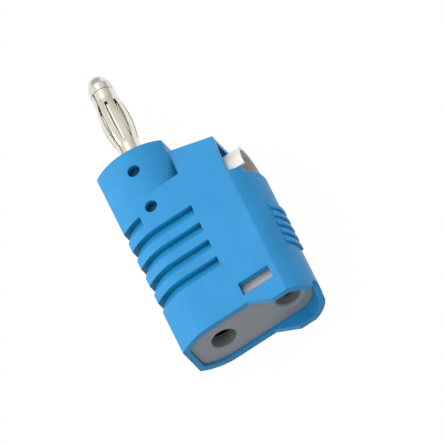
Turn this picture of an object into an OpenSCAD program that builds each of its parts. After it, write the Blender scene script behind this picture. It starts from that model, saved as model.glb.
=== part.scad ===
// Stackable 4 mm test plug with a spring clamp for a bare wire.
// Working frame of the modules: the pin runs along +Y, the wire lobe lies
// towards +X, the face with the tool slot looks along +Z. Zero is on the pin
// axis, level with the front rim of the housing. place() then moves the whole
// plug so that it lies on its far face, with the origin below its middle.

/* [Pin] */

// Reach of the pin in front of the housing
pin_reach = 18.38; // [17:0.02:22]
// Diameter of the domed head
head_d = 3.88; // [3.7:0.02:3.94]
// Straight length of the head behind its taper
head_len = 1.3; // [1:0.1:2.4]
// Taper of the head in front of its straight length
head_taper = 21; // [12:1:30]
// Radius of the rounded tip
tip_r = 1.64; // [1.4:0.02:1.7]
// Diameter of the core that carries the lantern spring
core_d = 3; // [2.6:0.05:3.1]
// Diameter of the collar at the root of the pin
root_d = 3.6; // [3.4:0.05:4]
// Length of the collar at the root of the pin
root_len = 2; // [1:0.1:3]
// Diameter of the shank in the housing
shank_d = 4.8; // [4.4:0.1:5]
// Outer diameter of the rear sleeve
sleeve_d = 5.8; // [5.4:0.1:6.4]
// Bore of the stacking socket
socket_d = 4; // [3.96:0.02:4.1]
// Depth of the socket bore inside the sleeve
socket_depth = 18; // [15:0.25:18.5]

/* [Lantern spring] */

// Number of leaves
leaves = 9; // [6:1:10]
// Widest diameter over the leaves
bulge_d = 4.76; // [4.4:0.02:5]
// Thickness of the strip that the sleeve is rolled from
leaf_t = 0.24; // [0.15:0.01:0.26]
// Length of the front collar
front_collar = 1.7; // [1:0.1:2.5]
// Length of the rear collar
rear_collar = 2.2; // [1:0.1:3]
// Front end of the sleeve to the gaps between the leaves
gap_start = 2.5; // [2:0.1:4]
// Length of the gaps
gap_len = 7.6; // [5:0.1:9]
// Width of the gap between two leaves at the collars
leaf_gap = 0.24; // [0.2:0.02:0.5]
// Turn of the first gap about the pin axis
gap_turn = 3; // [0:1:44]
// Width of the seam where the rolled sleeve meets
seam_w = 0.3; // [0.1:0.02:0.5]

/* [Housing] */

// Thickness across the two broad faces
body_t = 10.7; // [10.2:0.1:11.2]
// Wall of the shell
wall = 1; // [0.8:0.05:1.1]
// Length of the pin barrel, front rim to rear rim
body_len = 35.95; // [34:0.05:44]
// Crown radius of the pin barrel
crown_r = 8.45; // [8:0.05:12]
// How far the top of the crown lies outside the pin axis
crown_x = 0.45; // [0:0.05:0.8]
// Pin axis to the flat on the outer side of the barrel
side_flat = 6.15; // [5.6:0.05:6.4]
// Pin axis to the flat on the inner side of the barrel nose
nose_flat = 5.45; // [4.6:0.05:5.7]
// Pin axis to the axis of the wire lobe
lobe_x = 10.9; // [10.6:0.1:12]
// Radius of the wire lobe
lobe_r = 5.75; // [5.6:0.05:7]
// How far the wire lobe stands behind the barrel rim
lobe_drop = 1.95; // [0.5:0.05:4]
// Where the rear rim starts to slant, from the pin axis
waist_in = 6.55; // [5:0.05:8]
// Where the rear rim stops slanting, from the pin axis
waist_out = 10.35; // [9:0.05:12.5]

/* [Shoulder and window] */

// Front rim to the line where the broad face starts
shoulder_y = 8.7; // [7.6:0.1:9.5]
// How far the step on the barrel lies behind that line
step_back = 0.05; // [0.02:0.01:0.4]
// Slope of the shoulder
shoulder_slope = 23; // [15:1:28]
// Left side of the shoulder block, from the pin axis
block_x = 5.95; // [5.7:0.05:6.2]
// Front rim to the front corner of the shoulder block
block_y = 2.4; // [2:0.1:4]
// Slant of the block's front wall
block_slant = 22; // [10:0.5:24]
// Thickness of the web that joins the block to the barrel
web_t = 5.8; // [4:0.1:7]
// How far the side window cuts in behind the edge of the broad face
window_in = 0.05; // [0.02:0.01:0.4]
// Length of the side window along the broad face
window_len = 4.5; // [4:0.1:8]
// Extra setback of the lobe rim beside the tab
tab_len = 1; // [0.4:0.05:2]
// Width of the tab beyond the edge of the broad face
tab_w = 1.95; // [1:0.05:2.8]

/* [Grip grooves] */

// Number of grooves
grooves = 5; // [3:1:5]
// Front rim to the first groove
groove_y = 11.4; // [11.2:0.1:13]
// Spacing of the grooves
groove_pitch = 3.54; // [2.6:0.02:3.9]
// Length of one groove
groove_len = 1.9; // [1.2:0.1:2.3]
// Depth of a groove at its front wall
groove_depth = 1; // [0.5:0.05:1.1]
// Inner end of the long grooves, from the pin axis
groove_end = 5.58; // [3:0.02:6]
// Where the first, short groove ends, from the pin axis
short_end = 2.4; // [0.5:0.1:4]

/* [Holes and slots] */

// Diameter of the blind holes in the barrel
dimple_d = 2; // [1.2:0.1:2.4]
// Depth of the blind holes
dimple_depth = 1.4; // [0.6:0.1:1.6]
// Front rim to the first blind hole
dimple_y = 3.8; // [2.5:0.1:4.5]
// Spacing of the blind holes
dimple_pitch = 7.3; // [6:0.05:7.4]
// Length of the tool slot across the plug
slot_l = 5.35; // [4:0.05:5.6]
// Width of the tool slot along the plug
slot_w = 2.35; // [1.6:0.05:2.8]
// Rim of the barrel to the tool slot
slot_rim = 1.5; // [1.4:0.05:3]
// Pin axis to the middle of the tool slot
slot_x = 9.3; // [9.2:0.02:9.8]
// Width of the round notch in the rim of the wire lobe
notch_w = 4.5; // [2:0.1:6]
// Depth of the round notch in the rim of the wire lobe
notch_depth = 2; // [1:0.05:4.5]

/* [Rear insert] */

// Depth of the insert face behind the barrel rim
insert_sink = 0.43; // [0:0.01:0.45]
// Thickness of the insert plate
insert_t = 1.05; // [0.9:0.05:1.05]
// Length of the ring that centres the insert on the pin axis
ring_len = 1; // [0.5:0.1:2]
// Diameter of the socket mouth
mouth_d = 4.1; // [4.04:0.02:4.4]
// Pin axis to the middle of the wire hole
wire_x = 11.7; // [11.6:0.1:12.4]
// Diameter of the wire hole
wire_d = 2.4; // [2:0.1:2.5]
// Diameter of the wire funnel inside its bevel
funnel_d = 4; // [3.4:0.1:4.4]
// Depth of the wire funnel in front of its bevel
funnel_depth = 0.9; // [0.6:0.05:1.2]
// Bevel round the wire funnel; the socket mouth has half of it
funnel = 0.35; // [0.2:0.05:0.6]
// Length of the wire guide in front of the insert plate
guide_len = 1.2; // [0.9:0.1:1.4]
// Wall of the wire guide
guide_wall = 0.5; // [0.4:0.05:0.5]

/* [Clamp] */

// Thickness of the spring strip
strip_t = 0.5; // [0.3:0.05:0.7]
// Front rim to the front of the spring's bend
bend_front = 7.8; // [7.4:0.1:8.4]
// Side of the lobe to the side of the bend
bend_in = 1.05; // [0.8:0.05:2.4]
// Outer radius of the lip at the end of the near arm
lip_r = 1.2; // [0.8:0.1:1.6]
// Length of the lip's straight end
lip_len = 0.8; // [0.4:0.1:1.2]
// Thickness of the current bar
bar_t = 1; // [0.8:0.1:1.4]
// Front rim to the front face of the current bar
bar_y = 13.8; // [13.6:0.1:15]
// Inner radius of the bar's corner
bar_bend = 0.5; // [0.3:0.1:1]
// Height of the link between the pin and the bar
link_h = 2.8; // [2:0.1:3.4]
// Ring of the bar round the shank
eye_w = 0.9; // [0.6:0.05:1]

/* [Fits] */

// Clearance round a seated piece
fit = 0.05; // [0.02:0.01:0.1]
// Clearance of the spring inside the wire chamber
play = 0.2; // [0.15:0.05:0.3]

/* [Hidden] */

$fn = 96;
half_t = body_t / 2;
inner_t = half_t - wall;
face_edge = lobe_x + sqrt(max(0, lobe_r * lobe_r - half_t * half_t));
lobe_in = lobe_r - wall;
lobe_rear = body_len + lobe_drop;
mid_x = (lobe_x + lobe_r - side_flat) / 2;
mid_y = (pin_reach - lobe_rear) / 2;
over = 1;

// pin and its spring
head_r = head_d / 2;
taper = tan(head_taper);
// the tip is a touch larger than a ball that only just meets the taper
tip_y = pin_reach - tip_r;
taper_y = tip_y - (head_r - (tip_r - 0.005) / cos(head_taper)) / taper;
taper_len = tip_y + tip_r * sin(head_taper) - taper_y;
head_back = taper_y - head_len;
core_r = core_d / 2;
sleeve_front = bar_y + bar_t;
insert_face = body_len - insert_sink;
insert_front = insert_face - insert_t;
sleeve_rear = insert_front - ring_len;
guide_front = insert_front - guide_len;
spring_front = head_back;
spring_rear = root_len + fit;
bulge_front = spring_front - front_collar;
bulge_rear = spring_rear + rear_collar;
bulge_len = bulge_front - bulge_rear;
seat_r = head_r - leaf_t - fit;
rear_r = core_r + fit + leaf_t;
bulge_rise = bulge_d / 2 - (head_r + rear_r) / 2;
bulge_steps = 12;

// housing
slope = tan(shoulder_slope);
slant = tan(block_slant);
wall_down = wall / cos(shoulder_slope);
wall_back = wall / cos(block_slant);
chamber_x = block_x + wall / 2;
window_rear = shoulder_y + window_len;
window_x = face_edge - window_in;
eye_r = shank_d / 2 + eye_w;
main_bore_r = max(eye_r, sleeve_d / 2) + fit;
slot_rear = body_len - slot_rim;
notch_r = (notch_w * notch_w / 4 + notch_depth * notch_depth) / (2 * notch_depth);

// clamp
bend_r = inner_t - play;
bend_y = bend_front + bend_r;
strip_x = chamber_x + play;
bend_x1 = lobe_x + lobe_r - bend_in;
arm_x1 = lobe_wall(bend_r) - play;
arm_in = bend_r - strip_t;
lip_rear = insert_front - play;
bar_x = strip_x + play;
bar_x1 = lobe_wall(arm_in) - play;
bar_low = -arm_in;
corner_r = bar_t + bar_bend;
link_low = bar_low + corner_r;
link_top = link_low + link_h;

// Inner wall of the lobe at a height above or below its axis, rounded down to hundredths.
function lobe_wall(z) = floor(100 * (lobe_x + sqrt(max(0, lobe_in * lobe_in - z * z)))) / 100;

// Lays the plug on its far face, with the origin below the middle.
module place() translate([-mid_x, -mid_y, half_t]) children();

// Runs a cross-section, drawn in X and Z, from one station to another.
// Stations are distances behind the front rim.
module run(from, to)
    translate([0, -from, 0]) rotate([90, 0, 0]) linear_extrude(height = to - from) children();

// Runs a side profile, drawn in Y and Z, across the plug.
module across(x0, x1)
    translate([x0, 0, 0]) rotate([90, 0, 90]) linear_extrude(height = x1 - x0) children();

// A straight round bar or bore along the pin axis.
module round_bar(r, from, to, x = 0)
    translate([x, -from, 0]) rotate([90, 0, 0]) cylinder(h = to - from, r = r);

// Lens between the two crowns, cut off at x0 and x1.
module lens(x0, x1, r, h)
    intersection() {
        translate([-crown_x, h - r]) circle(r);
        translate([-crown_x, r - h]) circle(r);
        translate([x0, -h - over]) square([x1 - x0, 2 * (h + over)]);
    }

// Cross-section of the whole body, drawn inwards by an inset.
module section(inset) {
    h = half_t - inset;
    lens(inset - side_flat, -crown_x, crown_r - inset, h);
    translate([-crown_x, -h]) square([lobe_x + crown_x, 2 * h]);
    intersection() {
        translate([lobe_x, 0]) circle(lobe_r - inset);
        translate([0, -h]) square([lobe_x + lobe_r + over, 2 * h]);
    }
}

// Front wall of the shoulder block at a given x, as a station.
function front_at(x) = block_y + slant * (x - block_x);

// Plan of the housing from the shoulder back, with the window, the tab and the stepped rear rim.
module body_plan() {
    far_x = lobe_x + lobe_r + over;
    polygon([
        [-side_flat - over, -shoulder_y - step_back], [block_x, -shoulder_y - step_back],
        [block_x, -front_at(block_x)], [window_x, -front_at(window_x)],
        [window_x, -window_rear], [face_edge + tab_w, -window_rear],
        [face_edge + tab_w, -window_rear - tab_len], [far_x, -window_rear - tab_len],
        [far_x, -lobe_rear], [waist_out, -lobe_rear],
        [waist_in, -body_len], [-side_flat - over, -body_len]
    ]);
}

// Side profile with the sloping shoulder. drop says how far its slope lies
// below the outer one.
module nose_profile(drop) {
    s0 = block_y - over;
    s1 = shoulder_y + (drop + over) / slope;
    s2 = lobe_rear + over;
    z0 = half_t - drop - slope * (shoulder_y - s0);
    z1 = half_t + over;
    polygon([[-s0, z0], [-s1, z1], [-s2, z1], [-s2, -z1], [-s1, -z1], [-s0, -z0]]);
}

// The outside of the housing, still solid.
module body_block() {
    run(0, shoulder_y + over) lens(-side_flat, nose_flat, crown_r, half_t);
    // web between the barrel and the block, which ends behind the block's front wall
    intersection() {
        translate([0, 0, -web_t / 2]) linear_extrude(height = web_t)
            polygon([[0, -front_at(block_x)], [block_x, -front_at(block_x)],
                [block_x + wall, -front_at(block_x) - wall],
                [block_x + wall, -shoulder_y - over], [0, -shoulder_y - over]]);
        across(0, block_x + wall) nose_profile(0);
    }
    intersection() {
        run(0, lobe_rear + over) section(0);
        translate([0, 0, -half_t - over]) linear_extrude(height = body_t + 2 * over) body_plan();
        across(-side_flat - over, lobe_x + lobe_r + over) nose_profile(0);
    }
}

// Cone round the axis of one crown, which lowers that crown along the ramp of a groove.
module ramp_cone(side, y, len, low, high)
    translate([-crown_x, y, side * (crown_r - half_t)]) rotate([90, 0, 0])
        cylinder(h = len, r1 = crown_r - low, r2 = crown_r - high);

// What a groove leaves standing: the body with its skin lowered along a ramp
// that is deepest at the front wall.
module groove_core(s) {
    lead = 0.5;
    k = groove_depth / groove_len;
    len = groove_len + 2 * lead;
    low = groove_depth + k * lead;
    high = low - k * len;
    intersection() {
        ramp_cone(-1, lead - s, len, low, high);
        ramp_cone(1, lead - s, len, low, high);
        translate([0, 0, -half_t - over]) linear_extrude(height = body_t + 2 * over)
            polygon([[low - side_flat, lead - s], [-crown_x, lead - s],
                [-crown_x, lead - s - len], [high - side_flat, lead - s - len]]);
    }
    across(-crown_x, groove_end + over)
        polygon([[lead - s, half_t - low], [lead - s - len, half_t - high],
            [lead - s - len, high - half_t], [lead - s, low - half_t]]);
}

// One saw-tooth grip groove, wrapped round the outer side of the barrel.
module groove(s, x_end)
    difference() {
        translate([-side_flat - over, -s - groove_len - 0.1, -half_t - over])
            cube([side_flat + over + x_end, groove_len + 0.1, body_t + 2 * over]);
        groove_core(s);
    }

// Room for the clamp: behind the slanted front wall, open to the side and to the rear.
module chamber()
    intersection() {
        run(0, lobe_rear + over) section(wall);
        translate([0, 0, -half_t]) linear_extrude(height = body_t)
            polygon([[chamber_x, -front_at(chamber_x) - wall_back],
                [lobe_x + lobe_r, -front_at(lobe_x + lobe_r) - wall_back],
                [lobe_x + lobe_r, -lobe_rear - over], [chamber_x, -lobe_rear - over]]);
        across(chamber_x, lobe_x + lobe_r) nose_profile(wall_down);
    }

module housing()
    color("#4aa1e0") difference() {
        body_block();
        round_bar(shank_d / 2 + fit, -over, bar_y);
        round_bar(main_bore_r, bar_y - fit, lobe_rear);
        // way for the bar's link, from the pin bore into the wire chamber
        translate([0, -lobe_rear, bar_low - fit])
            cube([chamber_x + over, lobe_rear - bar_y + fit, link_top - bar_low + 2 * fit]);
        run(insert_front, lobe_rear + over) section(wall);
        chamber();
        translate([slot_x - slot_l / 2, -slot_rear, inner_t - over])
            cube([slot_l, slot_w, wall + 2 * over]);
        translate([lobe_x + lobe_r - 3 * wall, notch_depth - lobe_rear - notch_r, 0])
            rotate([0, 90, 0]) cylinder(h = 4 * wall, r = notch_r);
        for (i = [0, 1])
            translate([0, -dimple_y - i * dimple_pitch, half_t - dimple_depth])
                cylinder(h = dimple_depth + over, d = dimple_d);
        for (i = [0 : grooves - 1])
            groove(groove_y + i * groove_pitch, i == 0 ? -short_end : groove_end);
    }

// Cone that narrows forwards from a depth behind the insert face.
module cone_in(x, depth, len, wide, narrow)
    translate([x, depth - insert_face - 0.01, 0]) rotate([-90, 0, 0])
        cylinder(h = len, r1 = wide, r2 = narrow);

module rear_insert()
    color("#767c80") difference() {
        union() {
            run(insert_front, insert_face) section(wall + fit);
            round_bar(main_bore_r - fit, sleeve_rear, insert_front + insert_t / 2);
            // guide that leads the wire to the clamp
            round_bar(wire_d / 2 + guide_wall, guide_front, insert_front + insert_t / 2, wire_x);
        }
        round_bar(mouth_d / 2, 0, lobe_rear);
        round_bar(wire_d / 2, 0, lobe_rear, wire_x);
        cone_in(0, 0, funnel / 2, mouth_d / 2 + funnel / 2, mouth_d / 2);
        cone_in(wire_x, 0, funnel, funnel_d / 2 + funnel, funnel_d / 2);
        cone_in(wire_x, funnel, funnel_depth, funnel_d / 2, wire_d / 2);
    }

module contact_pin()
    color("#d8d4c4") difference() {
        union() {
            translate([0, tip_y, 0]) sphere(tip_r);
            translate([0, taper_y, 0]) rotate([-90, 0, 0])
                cylinder(h = taper_len, r1 = head_r, r2 = head_r - taper * taper_len);
            round_bar(head_r, -taper_y, -head_back);
            // seat of the spring's front collar
            round_bar(seat_r, -head_back - over, fit - bulge_front);
            round_bar(core_r, -head_back - over, -root_len + over / 2);
            round_bar(root_d / 2, -root_len, 0);
            round_bar(shank_d / 2, 0, sleeve_front);
            round_bar(sleeve_d / 2, sleeve_front, sleeve_rear);
        }
        round_bar(socket_d / 2, sleeve_rear - socket_depth, sleeve_rear + over);
        translate([0, -sleeve_rear - 0.01, 0]) rotate([-90, 0, 0])
            cylinder(h = 0.3, r1 = socket_d / 2 + 0.3, r2 = socket_d / 2);
    }

// Radius of a leaf's outer skin, t being 0 at the rear collar and 1 at the front one.
function leaf_r(t) = rear_r + (head_r - rear_r) * t + bulge_rise * sin(180 * t);

// Point of that skin as a share of the bulge, for a distance along the pin.
function along(y) = (y - bulge_rear) / bulge_len;

// Half the width of a gap there: the leaves keep their width and the gaps open with the bulge.
function gap_half(t) = leaf_gap / 2 + 180 / leaves * (PI / 180) * (leaf_r(t) - min(leaf_r(0), leaf_r(1)));

// One gap between two leaves, seen along the pin.
module gap_outline() {
    y1 = spring_front - gap_start;
    y0 = y1 - gap_len;
    side = [for (i = [0 : bulge_steps]) let (y = y0 + (y1 - y0) * i / bulge_steps) [gap_half(along(y)), y]];
    polygon(concat(side, [for (i = [bulge_steps : -1 : 0]) [-side[i][0], side[i][1]]]));
}

module lantern_spring()
    color("#e2dcc6") rotate([-90, 0, 0]) difference() {
        rotate_extrude() polygon(concat(
            [[rear_r, spring_rear]],
            [for (i = [0 : bulge_steps]) [leaf_r(i / bulge_steps), bulge_rear + bulge_len * i / bulge_steps]],
            [[head_r, spring_front], [head_r - leaf_t, spring_front]],
            [for (i = [bulge_steps : -1 : 0])
                [leaf_r(i / bulge_steps) - leaf_t, bulge_rear + bulge_len * i / bulge_steps]],
            [[rear_r - leaf_t, spring_rear]]
        ));
        for (i = [0 : leaves - 1]) rotate([0, 0, -gap_turn - i * 360 / leaves])
            translate([core_r / 2, 0, 0]) rotate([90, 0, 90])
                linear_extrude(height = bulge_d) gap_outline();
        rotate([0, 0, -gap_turn - floor(leaves / 3) * 360 / leaves])
            translate([core_r / 2, -seam_w / 2, spring_rear - over])
                cube([bulge_d, seam_w, spring_front - spring_rear + 2 * over]);
    }

// Quarter of a bent strip, drawn in Y and Z, as seen from its centre.
module bent(y, z, r, t, dy, dz)
    intersection() {
        translate([y, z]) difference() {
            circle(r);
            circle(r - t);
        }
        translate([dy < 0 ? y - r : y, dz < 0 ? z - r : z]) square(r);
    }

module current_bar()
    color("#c9b18a") difference() {
        union() {
            run(bar_y, sleeve_front) {
                circle(eye_r);
                translate([0, link_low]) square([bar_x1, link_h]);
            }
            across(bar_x, bar_x1) {
                bent(-bar_y - corner_r, link_low, corner_r, bar_t, 1, -1);
                translate([-insert_front + fit, bar_low])
                    square([insert_front - fit - bar_y - corner_r, bar_t]);
            }
        }
        round_bar(shank_d / 2 + fit, 0, lobe_rear);
    }

module clamp_spring()
    color("#cfcabd") intersection() {
        across(strip_x, bend_x1) {
            bent(-bend_y, 0, bend_r, strip_t, 1, 1);
            bent(-bend_y, 0, bend_r, strip_t, 1, -1);
            // far arm, under the bar
            translate([-lip_rear, -bend_r]) square([lip_rear - bend_y, strip_t]);
            // near arm and its lip
            translate([-lip_rear + lip_r, arm_in]) square([lip_rear - lip_r - bend_y, strip_t]);
            bent(-lip_rear + lip_r, bend_r - lip_r, lip_r, strip_t, -1, 1);
            translate([-lip_rear, bend_r - lip_r - lip_len]) square([strip_t, lip_len]);
        }
        // wide at the bend, narrower along the arms
        translate([0, 0, -half_t]) linear_extrude(height = body_t) {
            translate([strip_x, -lobe_rear]) square([arm_x1 - strip_x, lobe_rear]);
            translate([strip_x, 2 * play - window_rear]) square([bend_x1 - strip_x, window_rear]);
        }
    }

place() housing();
place() rear_insert();
place() contact_pin();
place() lantern_spring();
place() current_bar();
place() clamp_spring();
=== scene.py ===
"""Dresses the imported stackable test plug: finishes for its moulded and metal parts,
raised bars on the wire lobe, and a pale studio with the camera of the photograph.
"""

import math

import bmesh
import bpy
from bpy.props import FloatProperty, FloatVectorProperty, IntProperty, PointerProperty
from bpy.types import Operator, Panel, PropertyGroup
from mathutils import Matrix, Vector


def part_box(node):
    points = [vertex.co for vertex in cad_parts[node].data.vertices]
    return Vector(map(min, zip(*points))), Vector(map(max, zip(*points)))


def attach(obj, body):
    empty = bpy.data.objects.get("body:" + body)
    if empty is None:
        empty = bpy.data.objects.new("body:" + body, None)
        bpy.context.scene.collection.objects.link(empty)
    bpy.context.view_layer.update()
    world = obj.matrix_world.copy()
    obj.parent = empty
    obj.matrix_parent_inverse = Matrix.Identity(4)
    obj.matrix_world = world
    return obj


bl_info = {
    "name": "Stackable test plug",
    "version": (1, 0, 0),
    "blender": (4, 5, 0),
    "location": "View3D > Sidebar > Test plug",
    "description": "Finishes, raised bars and a studio for a stackable 4 mm test plug",
    "category": "Object",
}

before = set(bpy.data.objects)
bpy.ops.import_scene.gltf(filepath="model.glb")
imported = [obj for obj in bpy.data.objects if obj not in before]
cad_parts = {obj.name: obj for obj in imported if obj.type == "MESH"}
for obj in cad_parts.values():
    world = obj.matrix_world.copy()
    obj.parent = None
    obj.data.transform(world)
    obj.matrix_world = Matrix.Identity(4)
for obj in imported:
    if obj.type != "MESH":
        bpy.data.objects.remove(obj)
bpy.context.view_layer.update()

MM = 0.001
FORWARD = (0, 1, 0)  # the way the pin points
HOUSING_LOW, HOUSING_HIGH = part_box("housing")
PIN_LOW, PIN_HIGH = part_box("contact_pin")
PIN_X = (PIN_LOW.x + PIN_HIGH.x) / 2
PIN_Z = (PIN_LOW.z + PIN_HIGH.z) / 2
HEAD_REACH = 3.4315 * MM  # tip of the pin to the front end of the lantern spring
WIRE_X = 11.7 * MM  # pin axis to the axis of the wire funnel

# Places for the finishes, in millimetres. The first three are behind the housing's front rim.
REAR_RIM = 34.1  # where the stepped rear rim starts
BORE_SHADE_FADE = (10.0, 22.0)  # where the painted shade on the metal in the bore starts, and where it is full
CLAMP_SHADE_FADE = (18.0, 27.0)  # where the painted shade on the clamp's arm starts, and where it is full
THROAT_RADIUS = 2.0  # wire funnel inside its bevel
BEVEL_RADIUS = 2.4  # middle of the funnel's bevel
SIDE_SHADE_FADE = (0.5, 5.5)  # from the side of the barrel: where the painted shade on rearward groove walls is full, and where it ends
HEAD_SEAM = (0.04, 0.09)  # half widths of the painted shade in the seam behind the pin's head, where full and where none

GROOVE_LEAN = 0.466  # how far the ramps of the grip grooves face forward
COVER_REACH = 4 * MM  # how far a point looks for cover over itself
# Near-black colour of the painted shade in the pin's seam and bore
SHADE_BLACK = (0.02, 0.02, 0.018, 1.0)


class Sock:
    """A value of a shader. Python's operators on it add Math nodes."""

    def __init__(self, tree, socket):
        self.tree = tree
        self.socket = socket

    def math(self, operation, *others):
        return self.tree.node("ShaderNodeMath", {"operation": operation},
                              self, *others)["Value"]

    def __add__(self, other):
        return self.math("ADD", other)

    def __mul__(self, other):
        return self.math("MULTIPLY", other)

    def __sub__(self, other):
        return self.math("SUBTRACT", other)

    def __rsub__(self, other):
        return self * -1.0 + other

    def clamped(self):
        return self.math("MAXIMUM", 0.0).math("MINIMUM", 1.0)

    def ramp(self, low, high, to_low=0.0, to_high=1.0):
        """Runs smoothly from to_low to to_high as the value runs from low to high."""
        return self.tree.node("ShaderNodeMapRange", {"interpolation_type": "SMOOTHSTEP"},
                              self, low, high, to_low, to_high)["Result"]

    def near(self, value, full, none, strength=1.0):
        """The strength within the distance full of a value, and 0 beyond the distance none."""
        return (self - value).math("ABSOLUTE").ramp(full, none, strength, 0.0)


class Tree:
    """The node tree of a material, a world or a lamp."""

    def __init__(self, owner):
        owner.use_nodes = True
        self.nodes = owner.node_tree.nodes
        self.links = owner.node_tree.links
        self.nodes.clear()

    def node(self, kind, settings=None, *inputs, **named):
        """Adds a node. Settings come first, then its sockets in order or by name."""
        node = self.nodes.new(kind)
        for key, value in (settings or {}).items():
            setattr(node, key, value)
        pairs = list(zip(node.inputs, inputs))
        pairs += [(node.inputs[key.replace("_", " ")], value) for key, value in named.items()]
        for socket, value in pairs:
            self.feed(socket, value)
        return {out.name: Sock(self, out) for out in node.outputs}

    def feed(self, socket, value):
        """Links a shader value to a socket, or sets a constant on it."""
        if isinstance(value, Sock):
            self.links.new(value.socket, socket)
        else:
            socket.default_value = value

    def mix(self, factor, one, two):
        """Mixes two colours."""
        node = self.nodes.new("ShaderNodeMix")
        node.data_type = "RGBA"
        for index, value in ((0, factor), (6, one), (7, two)):
            self.feed(node.inputs[index], value)
        return Sock(self, node.outputs[2])

    def along(self, vector, axis):
        """How far a vector runs along an axis."""
        return self.node("ShaderNodeVectorMath", {"operation": "DOT_PRODUCT"},
                         vector, axis)["Value"]

    def normal(self):
        """The way that the surface faces."""
        return self.node("ShaderNodeNewGeometry")["Normal"]

    def place_mm(self, centre=(0, 0, 0), stretch=(1, 1, 1)):
        """Object coordinates in millimetres, from a centre given in metres."""
        coords = self.node("ShaderNodeTexCoord")["Object"]
        scale = [axis / MM for axis in stretch]
        shift = [-c * s for c, s in zip(centre, scale)]
        return self.node("ShaderNodeMapping", None, coords, shift, (0, 0, 0), scale)["Vector"]

    def behind(self, place):
        """How many millimetres a place lies behind the front rim of the housing."""
        return HOUSING_HIGH.y / MM - self.along(place, FORWARD)

    def noise(self, coords, scale, detail=3.0, roughness=0.5):
        return self.node("ShaderNodeTexNoise", None, Vector=coords, Scale=scale,
                         Detail=detail, Roughness=roughness)["Fac"]

    def worn_edge(self, radius):
        """1 along sharp edges within the radius, 0 on the open surface, and the eased normal."""
        eased = self.node("ShaderNodeBevel", {"samples": 6}, Radius=radius)["Normal"]
        return (1.0 - self.along(eased, self.normal())).ramp(0.01, 0.25), eased

    def bump(self, height, distance, normal):
        return self.node("ShaderNodeBump", None, Strength=1.0, Distance=distance,
                         Height=height, Normal=normal)["Normal"]

    def surface(self, colour, roughness, normal, **named):
        shader = self.node("ShaderNodeBsdfPrincipled", None, Base_Color=colour,
                           Roughness=roughness, Normal=normal, **named)["BSDF"]
        self.node("ShaderNodeOutputMaterial", None, Surface=shader)


def toned(colour, *factors, lift=0.0):
    """A colour times one factor, or one for each channel, plus a lift, and its alpha."""
    if len(factors) == 1:
        factors *= 3
    return [min(1.0, c * k + lift) for c, k in zip(colour, factors)] + [1.0]


def moulded(name, colour, grain, gloss, edge_lift, funnel=None):
    """Spark-textured moulded plastic with faint flow clouds, softened and paler edges, painted
    shade and painted light. A funnel, given by the centre of its mouth, marks the insert, and the
    housing has none.
    """
    material = bpy.data.materials.new(name)
    tree = Tree(material)
    place = tree.place_mm()
    clouds = tree.noise(place, 0.16)
    specks = tree.noise(place, grain, 2.0, 0.6)
    edge, eased = tree.worn_edge(0.18 * MM)
    tint = tree.mix(clouds.ramp(0.3, 0.7),
                    toned(colour, 0.955), toned(colour, 1.035, lift=0.003))
    tint = tree.mix(edge * specks.ramp(0.3, 0.7, 0.2, 0.8),
                    tint, toned(colour, 1.08, lift=edge_lift))
    # Painted shade in recesses and on the groove ramps, and on the housing also painted light on
    # shaded walls
    tint = painted_shade_and_light(tree, place, colour, tint, is_housing=funnel is None)
    if funnel is not None:
        # Painted shade in the throat of the wire funnel and a painted highlight on its bevel
        tint = funnel_shade_and_highlight(tree, funnel, colour, tint)
    rough = clouds.ramp(0.3, 0.7, gloss - 0.04, gloss + 0.04) + (specks - 0.5) * 0.12
    tree.surface(tint, rough, tree.bump(specks, 0.006 * MM, eased),
                 IOR=1.5, Specular_IOR_Level=0.45)
    return material


def painted_shade_and_light(tree, place, colour, tint, is_housing):
    """Painted shade on the ramps of the grip grooves and in recesses, and darker painted shade
    deep inside them.

    The housing also has painted shade on its stepped rear rim. Its cross walls in shade get
    painted light, but rearward ones at the side of the barrel get painted shade.
    """
    cover = tree.node("ShaderNodeAmbientOcclusion", {"samples": 8, "only_local": True},
                      Distance=COVER_REACH)["AO"]
    lean = tree.along(tree.normal(), FORWARD)
    # Painted shade on the forward-leaning ramps of the grip grooves
    ramps = lean.near(GROOVE_LEAN, 0.02, 0.05, 0.38)
    cross_walls = lean.math("ABSOLUTE").ramp(0.5, 0.9)
    shut_in = cover.ramp(0.4, 0.95, 1.0, 0.0)
    # Painted shade in recesses that are shut in, but not on cross walls
    painted_shade = (shut_in * (1.0 - cross_walls) * 0.9).math("MAXIMUM", ramps)
    if is_housing:
        rearward = lean.ramp(-0.97, -0.9, 1.0, 0.0)
        stepped = tree.behind(place).ramp(REAR_RIM - 0.1, REAR_RIM + 0.1)
        # Painted shade on the rearward faces of the stepped rear rim
        painted_shade = painted_shade.math("MAXIMUM", rearward * stepped * 0.4)
    # Colour of the painted shade: darker and greener than the body
    tint = tree.mix(painted_shade, tint, toned(colour, 0.5, 0.6, 0.5))
    # Near-black painted shade deep inside recesses
    tint = tree.mix(cover.ramp(0.1, 0.36, 0.85, 0.0), tint, toned(colour, 0.1))
    if is_housing:
        # Painted light: cross walls that lie in shade are made paler and greener
        clear = cover.ramp(0.3, 0.4) * shut_in * cross_walls
        tint = tree.mix(clear, tint, toned(colour, 1.0, 1.5, 1.22))
        # Painted shade on rearward cross walls near the side of the barrel
        inward = tree.along(place, (1, 0, 0)) - HOUSING_LOW.x / MM
        side_wall_shade = inward.ramp(*SIDE_SHADE_FADE, 0.9, 0.0) * rearward * (1.0 - stepped)
        tint = tree.mix(side_wall_shade, tint, toned(colour, 0.3, 0.54, 0.44))
    return tint


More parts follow.
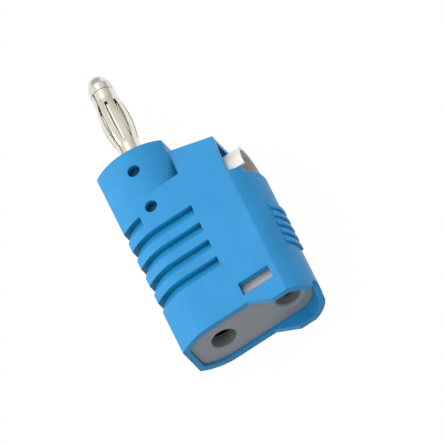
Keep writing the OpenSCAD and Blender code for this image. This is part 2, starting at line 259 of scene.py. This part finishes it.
def funnel_shade_and_highlight(tree, funnel, colour, tint):
    """Painted shade inside the wire funnel's throat, and a painted highlight on its bevel."""
    spread = tree.node("ShaderNodeVectorMath", {"operation": "LENGTH"},
                       tree.place_mm(funnel, (1, 0, 1)))["Value"]
    throat_shade = spread.ramp(THROAT_RADIUS - 0.15, THROAT_RADIUS + 0.15, 0.9, 0.0)
    tint = tree.mix(throat_shade, tint, toned(colour, 0.30, 0.32, 0.28))
    # Painted highlight on the funnel's bevel
    return tree.mix(spread.near(BEVEL_RADIUS, 0.05, 0.3, 0.5), tint, toned(colour, 1.3))


def turned(name, colour, dim, rough):
    """Plated metal turned about the pin axis: fine rings, cloudy plating that dims in places,
    bright edges, and painted shade in the seam where the spring meets the head and deep in the
    bore.
    """
    material = bpy.data.materials.new(name)
    tree = Tree(material)
    axis = (PIN_X, 0, PIN_Z)
    place = tree.place_mm(axis)
    rings = tree.noise(tree.place_mm(axis, (0.05, 1, 0.05)), 14.0, roughness=0.7)
    clouds = tree.noise(place, 0.8)
    edge, eased = tree.worn_edge(0.08 * MM)
    plate = tree.mix(clouds.ramp(0.3, 0.75), toned(colour, dim), toned(colour, 1.0))
    # Painted shade in the narrow seam between the lantern spring and the head
    seam = tree.along(place, FORWARD).near((PIN_HIGH.y - HEAD_REACH) / MM, *HEAD_SEAM)
    # Painted shade on the metal deep in the housing's bore
    bore = tree.behind(place).ramp(*BORE_SHADE_FADE)
    tree.surface(tree.mix((seam * 0.8 + bore * 0.93).clamped(),
                          tree.mix(edge, plate, toned(colour, 1.08)), SHADE_BLACK),
                 clouds.ramp(0.3, 0.7, rough - 0.04, rough + 0.05) + rings * 0.04,
                 tree.bump(rings, 0.002 * MM, eased), Metallic=1.0)
    return material


def rolled(name, colour, rear_tone, rough, stretch, rear_fade=(0.0, 1.0)):
    """Strip metal with fine rolling lines, and a darker tone towards the rear, in patches."""
    material = bpy.data.materials.new(name)
    tree = Tree(material)
    lines = tree.noise(tree.place_mm(stretch=stretch), 9.0, roughness=0.65)
    place = tree.place_mm()
    blots = tree.noise(place, 0.5, 4.0, 0.6)
    edge, eased = tree.worn_edge(0.06 * MM)
    # Darker towards the rear, in patches: on the clamp spring this is painted shade on the arm in
    # the slot
    toward_rear = (tree.behind(place).ramp(*rear_fade) - blots.ramp(0.35, 0.7) * 0.15).clamped()
    plate = tree.mix(toward_rear, toned(colour, 1.0), rear_tone)
    tree.surface(tree.mix(edge, plate, toned(colour, 1.1)),
                 blots.ramp(0.3, 0.7, rough + 0.05, rough - 0.04) + lines * 0.06,
                 tree.bump(lines, 0.002 * MM, eased), Metallic=0.2)
    return material


def dress(name, material):
    """Gives a CAD node its finish."""
    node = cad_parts[name]
    node.data.materials.clear()
    node.data.materials.append(material)


def meshed(name, shape):
    """Makes a mesh of a bmesh, and frees it."""
    mesh = bpy.data.meshes.new(name)
    shape.to_mesh(mesh)
    shape.free()
    return mesh


def placed(context, name, data):
    """Adds an object with this mesh, lamp or lens to the scene."""
    thing = bpy.data.objects.new(name, data)
    context.scene.collection.objects.link(thing)
    return thing


class PlugFinishes(PropertyGroup):
    """Colours and gloss of the plug's materials."""

    housing_colour: FloatVectorProperty(
        name="Housing colour", description="Blue of the moulded housing",
        subtype="COLOR", size=3, min=0, max=1, default=(0.013, 0.314, 0.705))
    insert_colour: FloatVectorProperty(
        name="Insert colour", description="Grey of the rear insert",
        subtype="COLOR", size=3, min=0, max=1, default=(0.308, 0.334, 0.358))
    pin_colour: FloatVectorProperty(
        name="Pin colour", description="Plating of the turned pin",
        subtype="COLOR", size=3, min=0, max=1, default=(0.82, 0.80, 0.73))
    leaf_colour: FloatVectorProperty(
        name="Lantern spring colour", description="Plating of the leaves round the pin",
        subtype="COLOR", size=3, min=0, max=1, default=(0.85, 0.825, 0.70))
    strip_colour: FloatVectorProperty(
        name="Clamp spring colour", description="Bare spring strip in the window",
        subtype="COLOR", size=3, min=0, max=1, default=(0.97, 0.955, 0.90))
    # Painted shade on the spring strip's arm in the slot
    strip_shade_colour: FloatVectorProperty(
        name="Clamp spring stain", description="Stained arm of the spring strip, in the slot",
        subtype="COLOR", size=3, min=0, max=1, default=(0.51, 0.465, 0.44))
    bar_colour: FloatVectorProperty(
        name="Current bar colour", description="Stamped bar in the wire chamber",
        subtype="COLOR", size=3, min=0, max=1, default=(0.62, 0.55, 0.42))
    housing_gloss: FloatProperty(
        name="Housing roughness", description="Mean roughness of the moulded skin",
        min=0.1, max=1, default=0.42)
    metal_gloss: FloatProperty(
        name="Metal roughness", description="Mean roughness of the plated metal",
        min=0.05, max=1, default=0.2)


class RaisedBars(PropertyGroup):
    """Plain raised bars across the side of the wire lobe."""

    count: IntProperty(
        name="Bars", description="Number of raised bars", min=1, max=9, default=5)
    first: FloatProperty(
        name="First bar", description="Front rim of the housing to the middle of the first bar",
        unit="LENGTH", default=21.3 * MM)
    pitch: FloatProperty(
        name="Pitch", description="Spacing of the bars", unit="LENGTH", default=1.75 * MM)
    width: FloatProperty(
        name="Width", description="Width of one bar", unit="LENGTH", default=0.95 * MM)
    rise: FloatProperty(
        name="Rise", description="How far a bar stands off the lobe",
        unit="LENGTH", default=0.35 * MM)
    sink: FloatProperty(
        name="Sink", description="How deep a bar is rooted in the lobe",
        unit="LENGTH", default=0.08 * MM)
    lobe_radius: FloatProperty(
        name="Lobe radius", description="Outer radius of the wire lobe",
        unit="LENGTH", default=5.75 * MM)
    top: FloatProperty(
        name="Upper end", description="Angle of a bar's upper end above the lobe's side",
        subtype="ANGLE", default=math.radians(31))
    bottom: FloatProperty(
        name="Lower end", description="Angle of a bar's lower end below the lobe's side",
        subtype="ANGLE", default=math.radians(11))


class Studio(PropertyGroup):
    """Floor, light and camera."""

    view_width: FloatProperty(
        name="View width", description="Width of the picture at the plug",
        unit="LENGTH", default=67.27 * MM)
    ambient: FloatProperty(
        name="Ambient light", description="Strength of the soft light from all round",
        min=0, max=3, default=0.6)
    glow: FloatProperty(
        name="Side glow", description="Extra soft light from the upper left",
        min=0, max=3, default=1.18)
    key: FloatProperty(
        name="Key light", description="Strength of the lamp at the upper left",
        min=0, max=10, default=0.3)
    floor_colour: FloatVectorProperty(
        name="Floor colour", description="Pale floor under the plug",
        subtype="COLOR", size=3, min=0, max=1, default=(0.45, 0.45, 0.45))


class PLUG_OT_housing(Operator):
    """Give the housing its blue moulded skin"""

    bl_idname = "plug.housing"
    bl_label = "Housing finish"

    def execute(self, context):
        look = context.scene.plug_finishes
        dress("housing", moulded("blue_moulding", look.housing_colour, grain=5.0,
                                 gloss=look.housing_gloss, edge_lift=0.006))
        return {"FINISHED"}


class PLUG_OT_insert(Operator):
    """Give the rear insert its grey moulded skin"""

    bl_idname = "plug.insert"
    bl_label = "Insert finish"

    def execute(self, context):
        look = context.scene.plug_finishes
        dress("rear_insert", moulded("grey_moulding", look.insert_colour, grain=4.0,
                                     gloss=0.5, edge_lift=0.01,
                                     funnel=(PIN_X + WIRE_X, 0, PIN_Z)))
        return {"FINISHED"}


class PLUG_OT_metal(Operator):
    """Give the pin, its lantern spring, the current bar and the clamp their plating"""

    bl_idname = "plug.metal"
    bl_label = "Metal finishes"

    def execute(self, context):
        look = context.scene.plug_finishes
        dress("contact_pin", turned("turned_plating", look.pin_colour, dim=0.9,
                                    rough=look.metal_gloss))
        dress("lantern_spring", turned("leaf_plating", look.leaf_colour, dim=0.93,
                                       rough=look.metal_gloss))
        # The clamp spring's arm in the slot gets painted shade towards the rear
        dress("clamp_spring", rolled("spring_strip", look.strip_colour,
                                     toned(look.strip_shade_colour, 1.0), rough=0.3,
                                     stretch=(1, 0.06, 0.06), rear_fade=CLAMP_SHADE_FADE))
        dress("current_bar", rolled("stamped_bar", look.bar_colour,
                                    toned(look.bar_colour, 0.8), rough=0.35,
                                    stretch=(1, 0.08, 0.08)))
        return {"FINISHED"}


class PLUG_OT_bars(Operator):
    """Set a row of plain raised bars across the side of the wire lobe"""

    bl_idname = "plug.bars"
    bl_label = "Raised bars"

    ARC_STEPS = 14
    SAME_PLACE = 0.0001 * MM
    SHARP = math.radians(50)
    ROUNDING = 0.12 * MM

    def execute(self, context):
        size = context.scene.plug_bars
        axis_x = HOUSING_HIGH.x - size.lobe_radius
        axis_z = (HOUSING_LOW.z + HOUSING_HIGH.z) / 2
        depth = size.rise + size.sink
        shape = bmesh.new()
        for index in range(size.count):
            y = HOUSING_HIGH.y - size.first - index * size.pitch
            start = bmesh.ops.create_grid(shape, x_segments=1, y_segments=1, size=0.5)["verts"]
            bmesh.ops.scale(shape, vec=(depth, size.width, 1), verts=start)
            bmesh.ops.translate(
                shape, verts=start,
                vec=(axis_x + size.lobe_radius - size.sink + depth / 2, y, axis_z))
            bmesh.ops.rotate(shape, verts=start, cent=(axis_x, y, axis_z),
                             matrix=Matrix.Rotation(size.bottom, 3, "Y"))
            section = start[0].link_faces[0]
            bmesh.ops.spin(shape, geom=[*start, *section.edges, section],
                           cent=(axis_x, y, axis_z), axis=FORWARD,
                           angle=-(size.top + size.bottom), steps=self.ARC_STEPS,
                           use_duplicate=False)
        bmesh.ops.remove_doubles(shape, verts=shape.verts, dist=self.SAME_PLACE)
        bmesh.ops.recalc_face_normals(shape, faces=shape.faces)
        corners = [e for e in shape.edges
                   if len(e.link_faces) == 2 and e.calc_face_angle() > self.SHARP]
        bmesh.ops.bevel(shape, geom=corners, offset=self.ROUNDING, offset_type="OFFSET",
                        affect="EDGES", segments=3, profile=0.5, material=-1)
        for face in shape.faces:
            face.smooth = True
        mesh = meshed("lobe_bars", shape)
        mesh.materials.append(bpy.data.materials["blue_moulding"])
        piece = placed(context, "lobe_bars", mesh)
        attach(piece, "root")
        return {"FINISHED"}


class PLUG_OT_studio(Operator):
    """Add the floor, the soft light and the camera of the photograph"""

    bl_idname = "plug.studio"
    bl_label = "Studio"

    RIGHT = Vector((0.8308, -0.3643, -0.4207))
    UP = Vector((0.5353, 0.7298, 0.4252))
    TOWARDS = Vector((0.1521, -0.5785, 0.8014))
    AIM = Vector((PIN_X + 6.026 * MM, HOUSING_HIGH.y - 10.585 * MM, PIN_Z - 8.785 * MM))
    CAMERA_FAR = 0.5
    CLIP = (0.01, 10.0)
    KEY_FROM = Vector((-0.79, 0.24, 0.57))
    KEY_SPREAD = math.radians(14)
    FLOOR_HALF = 1.5
    FLOOR_GAP = 0.02 * MM
    FLOOR_WHITE = 0.95  # share of the floor that is plain white, so that the rest holds shadow
    FLOOR_GLOW = 1.03  # its strength, so that the open floor is as white as the world behind
    # What metal mirrors: a direction, how near to it a patch starts and is full, and its
    # strength before and after. The horizon is dimmer, one side is brighter, and there is one
    # broad soft box.
    ROOM = (((0, 0, 1), 0.0, 0.8, 0.45, 0.82),
            ((-0.81, 0.58, 0.08), 0.8, 0.98, 0.0, 0.35),
            ((-0.02, 0.59, 0.81), 0.93, 0.995, 0.0, 0.6))
    FORWARD_LIGHT = 0.25  # how much more soft light comes from the front of the plug

    def execute(self, context):
        size = context.scene.plug_studio
        self.add_floor(context, size)
        self.add_world(context, size)
        self.add_key(context, size)
        self.add_camera(context, size)
        context.scene.view_settings.view_transform = "Standard"
        return {"FINISHED"}

    def add_floor(self, context, size):
        shape = bmesh.new()
        bmesh.ops.create_grid(shape, x_segments=1, y_segments=1, size=self.FLOOR_HALF)
        floor = placed(context, "floor", meshed("floor", shape))
        floor.location.z = -self.FLOOR_GAP
        material = bpy.data.materials.new("pale_floor")
        tree = Tree(material)
        path = tree.node("ShaderNodeLightPath")
        seen = path["Is Camera Ray"] + path["Is Glossy Ray"] + path["Is Transmission Ray"]
        plain = tree.node("ShaderNodeBsdfDiffuse", None, Color=[*size.floor_colour, 1.0])["BSDF"]
        white = tree.node("ShaderNodeEmission", None, Color=(1, 1, 1, 1),
                          Strength=self.FLOOR_GLOW)["Emission"]
        both = tree.node("ShaderNodeMixShader", None, seen.clamped() * self.FLOOR_WHITE,
                         plain, white)["Shader"]
        tree.node("ShaderNodeOutputMaterial", None, Surface=both)
        floor.data.materials.append(material)

    def add_world(self, context, size):
        world = bpy.data.worlds.new("soft_room")
        context.scene.world = world
        tree = Tree(world)
        path = tree.node("ShaderNodeLightPath")
        camera = path["Is Camera Ray"]
        mirrored = (path["Is Glossy Ray"] + path["Is Transmission Ray"]).clamped()
        way = tree.node("ShaderNodeTexCoord")["Generated"]
        patches = [tree.along(way, towards).ramp(*levels) for towards, *levels in self.ROOM]
        room = sum(patches[1:], start=patches[0])
        side = tree.along(way, self.KEY_FROM).math("MAXIMUM", 0.0)
        front = tree.along(way, FORWARD) * self.FORWARD_LIGHT
        soft = side * side * size.glow + (front + 1.0) * size.ambient
        lit = mirrored * room + (1.0 - mirrored) * soft
        strength = camera + (1.0 - camera) * lit
        glow = tree.node("ShaderNodeBackground", None, Color=(1, 1, 1, 1), Strength=strength)
        tree.node("ShaderNodeOutputWorld", None, Surface=glow["Background"])

    def add_key(self, context, size):
        lamp = bpy.data.lights.new("key", "SUN")
        lamp.energy = size.key
        lamp.angle = self.KEY_SPREAD
        key = placed(context, "key", lamp)
        key.rotation_euler = self.KEY_FROM.to_track_quat("Z", "Y").to_euler()

    def add_camera(self, context, size):
        lens = bpy.data.cameras.new("camera")
        lens.type = "ORTHO"
        lens.ortho_scale = size.view_width
        lens.clip_start, lens.clip_end = self.CLIP
        camera = placed(context, "camera", lens)
        turn = Matrix((self.RIGHT, self.UP, self.TOWARDS)).transposed().to_4x4()
        camera.matrix_world = Matrix.Translation(self.AIM + self.TOWARDS * self.CAMERA_FAR) @ turn
        context.scene.camera = camera


class PLUG_PT_sidebar(Panel):
    """Lists the steps that dress the plug"""

    bl_idname = "PLUG_PT_sidebar"
    bl_label = "Test plug"
    bl_space_type = "VIEW_3D"
    bl_region_type = "UI"
    bl_category = "Test plug"

    def draw(self, context):
        for group in (context.scene.plug_finishes, context.scene.plug_bars,
                      context.scene.plug_studio):
            box = self.layout.box()
            for name in group.bl_rna.properties.keys():
                if name not in {"rna_type", "name"}:
                    box.prop(group, name)
        for step in STEPS:
            self.layout.operator(step.bl_idname)


STEPS = (PLUG_OT_housing, PLUG_OT_insert, PLUG_OT_metal, PLUG_OT_bars, PLUG_OT_studio)
CLASSES = (PlugFinishes, RaisedBars, Studio, *STEPS, PLUG_PT_sidebar)
GROUPS = {"plug_finishes": PlugFinishes, "plug_bars": RaisedBars, "plug_studio": Studio}


def register():
    for item in CLASSES:
        bpy.utils.register_class(item)
    for name, group in GROUPS.items():
        setattr(bpy.types.Scene, name, PointerProperty(type=group))


def unregister():
    for name in GROUPS:
        delattr(bpy.types.Scene, name)
    for item in reversed(CLASSES):
        bpy.utils.unregister_class(item)


def main():
    register()
    for step in STEPS:
        family, name = step.bl_idname.split(".")
        getattr(getattr(bpy.ops, family), name)()


if __name__ == "__main__":
    main()
